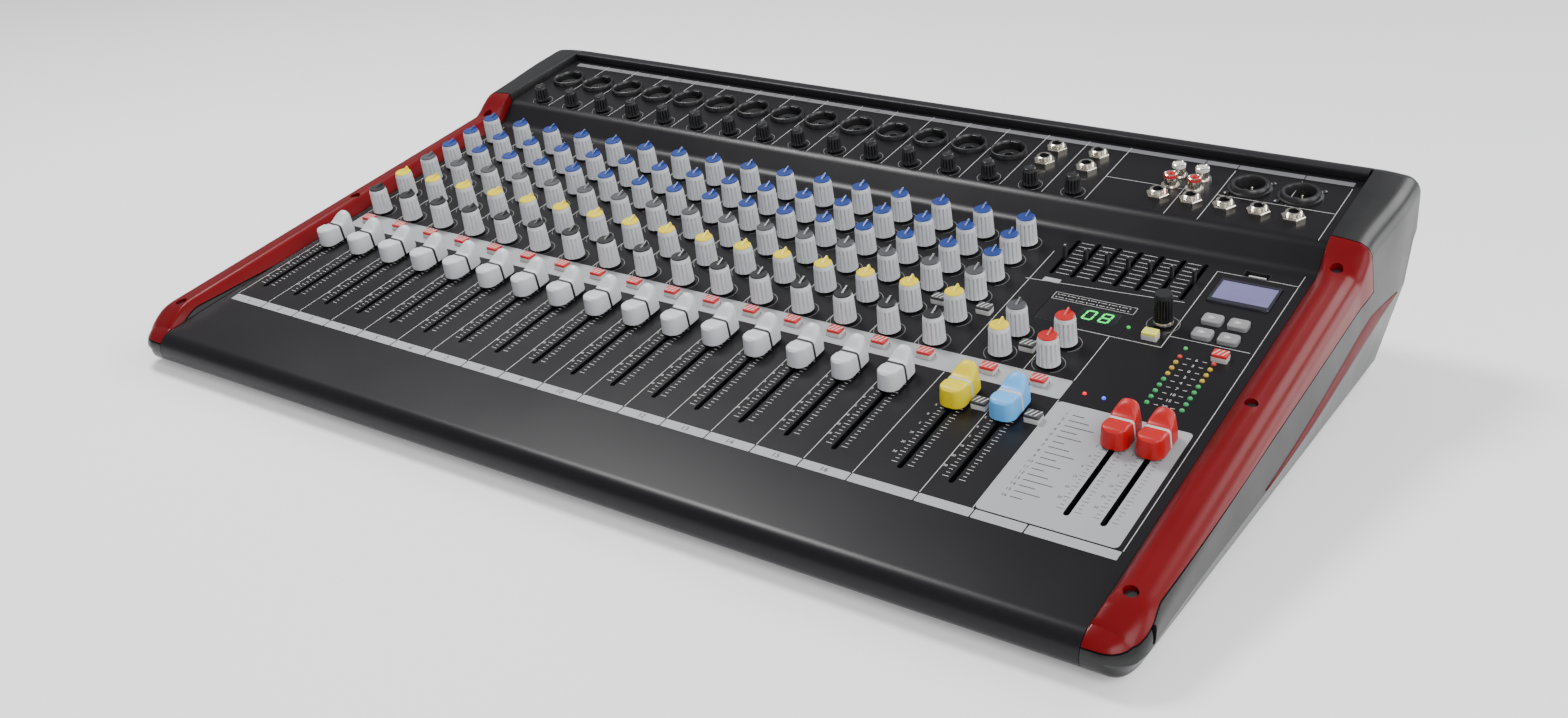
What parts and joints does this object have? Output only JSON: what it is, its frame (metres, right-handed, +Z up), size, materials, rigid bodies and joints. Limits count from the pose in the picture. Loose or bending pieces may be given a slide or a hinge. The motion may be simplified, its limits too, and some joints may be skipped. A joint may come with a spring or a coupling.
{
  "type": "audio mixing console",
  "caption": "Desktop audio mixing console with sliding faders, rotary tone controls, microphone and jack sockets on a raised rear deck, and red side cheeks.",
  "frame": {"origin": "on the surface it stands on, under the middle of its bounding box", "axes": "+X along the row of channels from left to right, +Y from the user to the back, +Z up"},
  "size_m": [0.645, 0.4156, 0.1165],
  "materials": {
    "black_steel": "satin black powder coat",
    "red_gloss": "glossy dark red",
    "black_shell": "satin black",
    "foot_rubber": "matt black",
    "black_knob": "fluted black",
    "yellow_cap": "yellow with a white line",
    "blue_cap": "light blue with a white line",
    "red_cap": "red with a white line",
    "grey_knob": "light grey",
    "red_button": "red with white stripes",
    "yellow_button": "yellow",
    "grey_keys": "grey rubber",
    "display_window": "dark window with green digits",
    "screen_window": "pale liquid-crystal window",
    "circuit_board": "green glass-fibre board with its parts",
    "socket_black": "black",
    "socket_nickel": "bright nickel",
    "power_unit": "ring transformer and supply board"
  },
  "bodies": {
    "console": {"top_panel": "black_steel", "rear_cover": "black_steel", "bottom_tray": "black_steel", "right_red_cheek": "red_gloss", "left_red_cheek": "red_gloss", "right_end_shell": "black_shell", "left_end_shell": "black_shell", "front_left_foot": "foot_rubber", "back_left_foot": "foot_rubber", "front_right_foot": "foot_rubber", "back_right_foot": "foot_rubber", "tone_knob_bank": "grey_knob", "send_knob_bank": "grey_knob", "gain_knob_row": "black_knob", "cue_button_row": "red_button", "player_keypad": "grey_keys", "effects_display": "display_window", "player_screen": "screen_window", "main_circuit_board": "circuit_board", "microphone_sockets": "socket_black", "output_sockets": "socket_nickel", "power_supply": "power_unit", "mains_inlet": "socket_black"},
    "channel_01_fader": {"channel_01_fader": "grey_knob"},
    "channel_02_fader": {"channel_02_fader": "grey_knob"},
    "channel_03_fader": {"channel_03_fader": "grey_knob"},
    "channel_04_fader": {"channel_04_fader": "grey_knob"},
    "channel_05_fader": {"channel_05_fader": "grey_knob"},
    "channel_06_fader": {"channel_06_fader": "grey_knob"},
    "channel_07_fader": {"channel_07_fader": "grey_knob"},
    "channel_08_fader": {"channel_08_fader": "grey_knob"},
    "channel_09_fader": {"channel_09_fader": "grey_knob"},
    "channel_10_fader": {"channel_10_fader": "grey_knob"},
    "channel_11_fader": {"channel_11_fader": "grey_knob"},
    "channel_12_fader": {"channel_12_fader": "grey_knob"},
    "channel_13_fader": {"channel_13_fader": "grey_knob"},
    "channel_14_fader": {"channel_14_fader": "grey_knob"},
    "channel_15_fader": {"channel_15_fader": "grey_knob"},
    "channel_16_fader": {"channel_16_fader": "grey_knob"},
    "effects_fader": {"effects_fader": "yellow_cap"},
    "player_fader": {"player_fader": "blue_cap"},
    "main_left_fader": {"main_left_fader": "red_cap"},
    "main_right_fader": {"main_right_fader": "red_cap"},
    "equaliser_slider_1": {"equaliser_slider_1": "black_knob"},
    "equaliser_slider_2": {"equaliser_slider_2": "black_knob"},
    "equaliser_slider_3": {"equaliser_slider_3": "black_knob"},
    "equaliser_slider_4": {"equaliser_slider_4": "black_knob"},
    "equaliser_slider_5": {"equaliser_slider_5": "black_knob"},
    "equaliser_slider_6": {"equaliser_slider_6": "black_knob"},
    "equaliser_slider_7": {"equaliser_slider_7": "black_knob"},
    "effects_return_knob": {"effects_return_knob": "grey_knob"},
    "effects_aux_knob": {"effects_aux_knob": "grey_knob"},
    "player_level_knob": {"player_level_knob": "grey_knob"},
    "headphone_level_knob": {"headphone_level_knob": "grey_knob"},
    "channel_01_gain_knob": {"channel_01_gain_knob": "black_knob"},
    "program_select_knob": {"program_select_knob": "black_knob"},
    "channel_01_cue_button": {"channel_01_cue_button": "red_button"},
    "phantom_power_button": {"phantom_power_button": "red_button"},
    "tap_tempo_button": {"tap_tempo_button": "yellow_button"},
    "power_rocker": {"power_rocker": "black_knob"}
  },
  "joints": [
    {"name": "channel_01_fader_slide", "type": "slide", "parent": "console", "child": "channel_01_fader", "axis": [0, 0.9816, 0.1908], "range_m": [-0.06, 0]},
    {"name": "channel_02_fader_slide", "type": "slide", "parent": "console", "child": "channel_02_fader", "axis": [0, 0.9816, 0.1908], "range_m": [-0.06, 0]},
    {"name": "channel_03_fader_slide", "type": "slide", "parent": "console", "child": "channel_03_fader", "axis": [0, 0.9816, 0.1908], "range_m": [-0.06, 0]},
    {"name": "channel_04_fader_slide", "type": "slide", "parent": "console", "child": "channel_04_fader", "axis": [0, 0.9816, 0.1908], "range_m": [-0.06, 0]},
    {"name": "channel_05_fader_slide", "type": "slide", "parent": "console", "child": "channel_05_fader", "axis": [0, 0.9816, 0.1908], "range_m": [-0.06, 0]},
    {"name": "channel_06_fader_slide", "type": "slide", "parent": "console", "child": "channel_06_fader", "axis": [0, 0.9816, 0.1908], "range_m": [-0.06, 0]},
    {"name": "channel_07_fader_slide", "type": "slide", "parent": "console", "child": "channel_07_fader", "axis": [0, 0.9816, 0.1908], "range_m": [-0.06, 0]},
    {"name": "channel_08_fader_slide", "type": "slide", "parent": "console", "child": "channel_08_fader", "axis": [0, 0.9816, 0.1908], "range_m": [-0.06, 0]},
    {"name": "channel_09_fader_slide", "type": "slide", "parent": "console", "child": "channel_09_fader", "axis": [0, 0.9816, 0.1908], "range_m": [-0.06, 0]},
    {"name": "channel_10_fader_slide", "type": "slide", "parent": "console", "child": "channel_10_fader", "axis": [0, 0.9816, 0.1908], "range_m": [-0.06, 0]},
    {"name": "channel_11_fader_slide", "type": "slide", "parent": "console", "child": "channel_11_fader", "axis": [0, 0.9816, 0.1908], "range_m": [-0.06, 0]},
    {"name": "channel_12_fader_slide", "type": "slide", "parent": "console", "child": "channel_12_fader", "axis": [0, 0.9816, 0.1908], "range_m": [-0.06, 0]},
    {"name": "channel_13_fader_slide", "type": "slide", "parent": "console", "child": "channel_13_fader", "axis": [0, 0.9816, 0.1908], "range_m": [-0.06, 0]},
    {"name": "channel_14_fader_slide", "type": "slide", "parent": "console", "child": "channel_14_fader", "axis": [0, 0.9816, 0.1908], "range_m": [-0.06, 0]},
    {"name": "channel_15_fader_slide", "type": "slide", "parent": "console", "child": "channel_15_fader", "axis": [0, 0.9816, 0.1908], "range_m": [-0.06, 0]},
    {"name": "channel_16_fader_slide", "type": "slide", "parent": "console", "child": "channel_16_fader", "axis": [0, 0.9816, 0.1908], "range_m": [-0.06, 0]},
    {"name": "effects_fader_slide", "type": "slide", "parent": "console", "child": "effects_fader", "axis": [0, 0.9816, 0.1908], "range_m": [-0.06, 0]},
    {"name": "player_fader_slide", "type": "slide", "parent": "console", "child": "player_fader", "axis": [0, 0.9816, 0.1908], "range_m": [-0.06, 0]},
    {"name": "main_left_fader_slide", "type": "slide", "parent": "console", "child": "main_left_fader", "axis": [0, 0.9816, 0.1908], "range_m": [-0.06, 0]},
    {"name": "main_right_fader_slide", "type": "slide", "parent": "console", "child": "main_right_fader", "axis": [0, 0.9816, 0.1908], "range_m": [-0.06, 0]},
    {"name": "equaliser_slider_1_slide", "type": "slide", "parent": "console", "child": "equaliser_slider_1", "axis": [0, 0.9816, 0.1908], "range_m": [-0.015, 0.015]},
    {"name": "equaliser_slider_2_slide", "type": "slide", "parent": "console", "child": "equaliser_slider_2", "axis": [0, 0.9816, 0.1908], "range_m": [-0.015, 0.015]},
    {"name": "equaliser_slider_3_slide", "type": "slide", "parent": "console", "child": "equaliser_slider_3", "axis": [0, 0.9816, 0.1908], "range_m": [-0.015, 0.015]},
    {"name": "equaliser_slider_4_slide", "type": "slide", "parent": "console", "child": "equaliser_slider_4", "axis": [0, 0.9816, 0.1908], "range_m": [-0.015, 0.015]},
    {"name": "equaliser_slider_5_slide", "type": "slide", "parent": "console", "child": "equaliser_slider_5", "axis": [0, 0.9816, 0.1908], "range_m": [-0.015, 0.015]},
    {"name": "equaliser_slider_6_slide", "type": "slide", "parent": "console", "child": "equaliser_slider_6", "axis": [0, 0.9816, 0.1908], "range_m": [-0.015, 0.015]},
    {"name": "equaliser_slider_7_slide", "type": "slide", "parent": "console", "child": "equaliser_slider_7", "axis": [0, 0.9816, 0.1908], "range_m": [-0.015, 0.015]},
    {"name": "effects_return_knob_turn", "type": "hinge", "parent": "console", "child": "effects_return_knob", "pos_m": [0.1704, -0.03378, 0.0557], "axis": [0, -0.1908, 0.9816], "range_deg": [-150, 150]},
    {"name": "effects_aux_knob_turn", "type": "hinge", "parent": "console", "child": "effects_aux_knob", "pos_m": [0.1704, -0.01336, 0.05967], "axis": [0, -0.1908, 0.9816], "range_deg": [-150, 150]},
    {"name": "player_level_knob_turn", "type": "hinge", "parent": "console", "child": "player_level_knob", "pos_m": [0.1977, -0.03378, 0.0557], "axis": [0, -0.1908, 0.9816], "range_deg": [-150, 150]},
    {"name": "headphone_level_knob_turn", "type": "hinge", "parent": "console", "child": "headphone_level_knob", "pos_m": [0.1977, -0.01336, 0.05967], "axis": [0, -0.1908, 0.9816], "range_deg": [-150, 150]},
    {"name": "channel_01_gain_knob_turn", "type": "hinge", "parent": "console", "child": "channel_01_gain_knob", "pos_m": [-0.27048, 0.11626, 0.0972], "axis": [0, -0.1908, 0.9816], "range_deg": [-150, 150]},
    {"name": "program_select_knob_turn", "type": "hinge", "parent": "console", "child": "program_select_knob", "pos_m": [0.2366, 0.02178, 0.0665], "axis": [0, -0.1908, 0.9816], "continuous": true},
    {"name": "channel_01_cue_button_press", "type": "slide", "parent": "console", "child": "channel_01_cue_button", "axis": [0, 0.1908, -0.9816], "range_m": [0, 0.0015], "stiffness_N_per_m": 500},
    {"name": "phantom_power_button_press", "type": "slide", "parent": "console", "child": "phantom_power_button", "axis": [0, 0.1908, -0.9816], "range_m": [0, 0.0015], "stiffness_N_per_m": 500},
    {"name": "tap_tempo_button_press", "type": "slide", "parent": "console", "child": "tap_tempo_button", "axis": [0, 0.1908, -0.9816], "range_m": [0, 0.0015], "stiffness_N_per_m": 500},
    {"name": "power_rocker_rock", "type": "hinge", "parent": "console", "child": "power_rocker", "pos_m": [-0.2215, 0.18344, 0.02916], "axis": [-1, 0, 0], "range_deg": [0, 13.75]}
  ]
}
